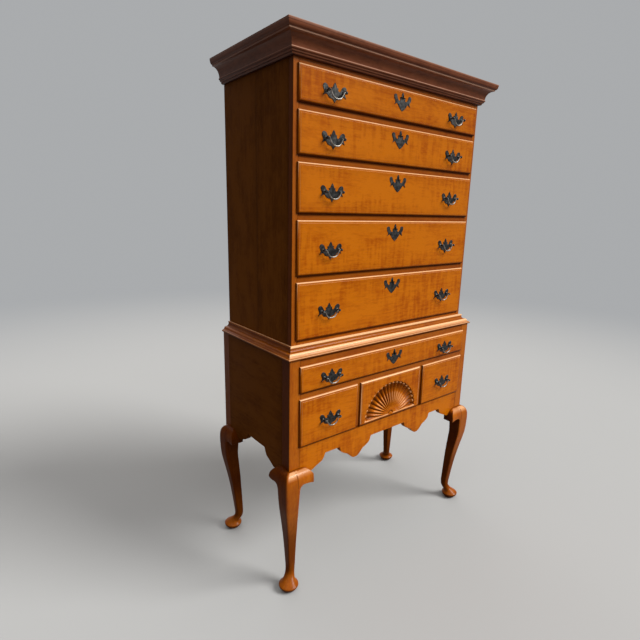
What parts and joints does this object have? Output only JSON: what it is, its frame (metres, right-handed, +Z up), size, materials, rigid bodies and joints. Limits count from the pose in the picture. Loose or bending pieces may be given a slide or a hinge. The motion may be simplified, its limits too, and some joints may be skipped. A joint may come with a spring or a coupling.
{
  "type": "highboy",
  "caption": "Flat-top highboy: a case of graduated drawers on a lower case with a carved fan drawer, scalloped apron and cabriole legs with pad feet, brass batwing pulls.",
  "frame": {"origin": "on the floor, under the middle of the overall box", "axes": "+Z up, +X to the right as seen from the front, +Y from the front to the back"},
  "size_m": [1.0148, 0.4944, 1.832],
  "materials": {
    "figured_maple": "figured maple, amber varnish, satin gloss",
    "dark_maple": "dark red-brown stained maple, satin varnish",
    "pine": "unfinished secondary wood",
    "brass": "dark antique brass with worn bright edges"
  },
  "bodies": {
    "lower_case": {"waist_moulding": "figured_maple", "lower_front_frame": "figured_maple", "lower_side_left": "figured_maple", "lower_side_right": "figured_maple", "lower_back": "pine", "leg_front_left": "figured_maple", "leg_front_right": "figured_maple", "leg_rear_left": "figured_maple", "leg_rear_right": "figured_maple"},
    "upper_case": {"cornice": "dark_maple", "upper_side_left": "figured_maple", "upper_side_right": "figured_maple", "upper_back": "pine", "upper_face_frame": "figured_maple"},
    "drawer_u1": {"drawer_u1_front": "figured_maple", "drawer_u1_box": "pine", "pull_u1_left_plate": "brass", "pull_u1_right_plate": "brass"},
    "drawer_u2": {"drawer_u2_front": "figured_maple", "drawer_u2_box": "pine", "pull_u2_left_plate": "brass", "pull_u2_right_plate": "brass"},
    "drawer_u3": {"drawer_u3_front": "figured_maple", "drawer_u3_box": "pine", "pull_u3_left_plate": "brass", "pull_u3_right_plate": "brass"},
    "drawer_u4": {"drawer_u4_front": "figured_maple", "drawer_u4_box": "pine", "pull_u4_left_plate": "brass", "pull_u4_right_plate": "brass"},
    "drawer_u5": {"drawer_u5_front": "figured_maple", "drawer_u5_box": "pine", "pull_u5_left_plate": "brass", "pull_u5_right_plate": "brass"},
    "drawer_l1": {"drawer_l1_front": "figured_maple", "drawer_l1_box": "pine", "pull_l1_left_plate": "brass", "pull_l1_right_plate": "brass"},
    "drawer_l2": {"drawer_l2_front": "figured_maple", "drawer_l2_box": "pine", "pull_l2_middle_plate": "brass"},
    "drawer_l3": {"drawer_l3_front": "figured_maple", "drawer_l3_box": "pine"},
    "drawer_l4": {"drawer_l4_front": "figured_maple", "drawer_l4_box": "pine", "pull_l4_middle_plate": "brass"},
    "bail_u1_left": {"pull_u1_left_bail": "brass"},
    "bail_u1_right": {"pull_u1_right_bail": "brass"},
    "bail_u2_left": {"pull_u2_left_bail": "brass"},
    "bail_u2_right": {"pull_u2_right_bail": "brass"},
    "bail_u3_left": {"pull_u3_left_bail": "brass"},
    "bail_u3_right": {"pull_u3_right_bail": "brass"},
    "bail_u4_left": {"pull_u4_left_bail": "brass"},
    "bail_u4_right": {"pull_u4_right_bail": "brass"},
    "bail_u5_left": {"pull_u5_left_bail": "brass"},
    "bail_u5_right": {"pull_u5_right_bail": "brass"},
    "bail_l1_left": {"pull_l1_left_bail": "brass"},
    "bail_l1_right": {"pull_l1_right_bail": "brass"},
    "bail_l2_middle": {"pull_l2_middle_bail": "brass"},
    "bail_l4_middle": {"pull_l4_middle_bail": "brass"}
  },
  "joints": [
    {"name": "upper_case_lift", "type": "slide", "parent": "lower_case", "child": "upper_case", "axis": [0, 0, 1], "range_m": [0, 0.045]},
    {"name": "drawer_u1_slide", "type": "slide", "parent": "upper_case", "child": "drawer_u1", "axis": [0, -1, 0], "range_m": [0, 0.3]},
    {"name": "drawer_u2_slide", "type": "slide", "parent": "upper_case", "child": "drawer_u2", "axis": [0, -1, 0], "range_m": [0, 0.3]},
    {"name": "drawer_u3_slide", "type": "slide", "parent": "upper_case", "child": "drawer_u3", "axis": [0, -1, 0], "range_m": [0, 0.3]},
    {"name": "drawer_u4_slide", "type": "slide", "parent": "upper_case", "child": "drawer_u4", "axis": [0, -1, 0], "range_m": [0, 0.3]},
    {"name": "drawer_u5_slide", "type": "slide", "parent": "upper_case", "child": "drawer_u5", "axis": [0, -1, 0], "range_m": [0, 0.3]},
    {"name": "drawer_l1_slide", "type": "slide", "parent": "lower_case", "child": "drawer_l1", "axis": [0, -1, 0], "range_m": [0, 0.3]},
    {"name": "drawer_l2_slide", "type": "slide", "parent": "lower_case", "child": "drawer_l2", "axis": [0, -1, 0], "range_m": [0, 0.3]},
    {"name": "drawer_l3_slide", "type": "slide", "parent": "lower_case", "child": "drawer_l3", "axis": [0, -1, 0], "range_m": [0, 0.3]},
    {"name": "drawer_l4_slide", "type": "slide", "parent": "lower_case", "child": "drawer_l4", "axis": [0, -1, 0], "range_m": [0, 0.3]},
    {"name": "bail_u1_left_swing", "type": "hinge", "parent": "drawer_u1", "child": "bail_u1_left", "pos_m": [-0.302, -0.2087, 1.6835], "axis": [-1, 0, 0], "range_deg": [-28, 205]},
    {"name": "bail_u1_right_swing", "type": "hinge", "parent": "drawer_u1", "child": "bail_u1_right", "pos_m": [0.302, -0.2087, 1.6835], "axis": [-1, 0, 0], "range_deg": [-28, 205]},
    {"name": "bail_u2_left_swing", "type": "hinge", "parent": "drawer_u2", "child": "bail_u2_left", "pos_m": [-0.302, -0.2087, 1.5495], "axis": [-1, 0, 0], "range_deg": [-28, 205]},
    {"name": "bail_u2_right_swing", "type": "hinge", "parent": "drawer_u2", "child": "bail_u2_right", "pos_m": [0.302, -0.2087, 1.5495], "axis": [-1, 0, 0], "range_deg": [-28, 205]},
    {"name": "bail_u3_left_swing", "type": "hinge", "parent": "drawer_u3", "child": "bail_u3_left", "pos_m": [-0.302, -0.2087, 1.391], "axis": [-1, 0, 0], "range_deg": [-28, 205]},
    {"name": "bail_u3_right_swing", "type": "hinge", "parent": "drawer_u3", "child": "bail_u3_right", "pos_m": [0.302, -0.2087, 1.391], "axis": [-1, 0, 0], "range_deg": [-28, 205]},
    {"name": "bail_u4_left_swing", "type": "hinge", "parent": "drawer_u4", "child": "bail_u4_left", "pos_m": [-0.302, -0.2087, 1.2085], "axis": [-1, 0, 0], "range_deg": [-28, 205]},
    {"name": "bail_u4_right_swing", "type": "hinge", "parent": "drawer_u4", "child": "bail_u4_right", "pos_m": [0.302, -0.2087, 1.2085], "axis": [-1, 0, 0], "range_deg": [-28, 205]},
    {"name": "bail_u5_left_swing", "type": "hinge", "parent": "drawer_u5", "child": "bail_u5_left", "pos_m": [-0.302, -0.2087, 1.0055], "axis": [-1, 0, 0], "range_deg": [-28, 205]},
    {"name": "bail_u5_right_swing", "type": "hinge", "parent": "drawer_u5", "child": "bail_u5_right", "pos_m": [0.302, -0.2087, 1.0055], "axis": [-1, 0, 0], "range_deg": [-28, 205]},
    {"name": "bail_l1_left_swing", "type": "hinge", "parent": "drawer_l1", "child": "bail_l1_left", "pos_m": [-0.309, -0.2417, 0.7845], "axis": [-1, 0, 0], "range_deg": [-28, 205]},
    {"name": "bail_l1_right_swing", "type": "hinge", "parent": "drawer_l1", "child": "bail_l1_right", "pos_m": [0.309, -0.2417, 0.7845], "axis": [-1, 0, 0], "range_deg": [-28, 205]},
    {"name": "bail_l2_middle_swing", "type": "hinge", "parent": "drawer_l2", "child": "bail_l2_middle", "pos_m": [-0.3105, -0.2417, 0.6305], "axis": [-1, 0, 0], "range_deg": [-28, 205]},
    {"name": "bail_l4_middle_swing", "type": "hinge", "parent": "drawer_l4", "child": "bail_l4_middle", "pos_m": [0.3105, -0.2417, 0.6305], "axis": [-1, 0, 0], "range_deg": [-28, 205]}
  ]
}
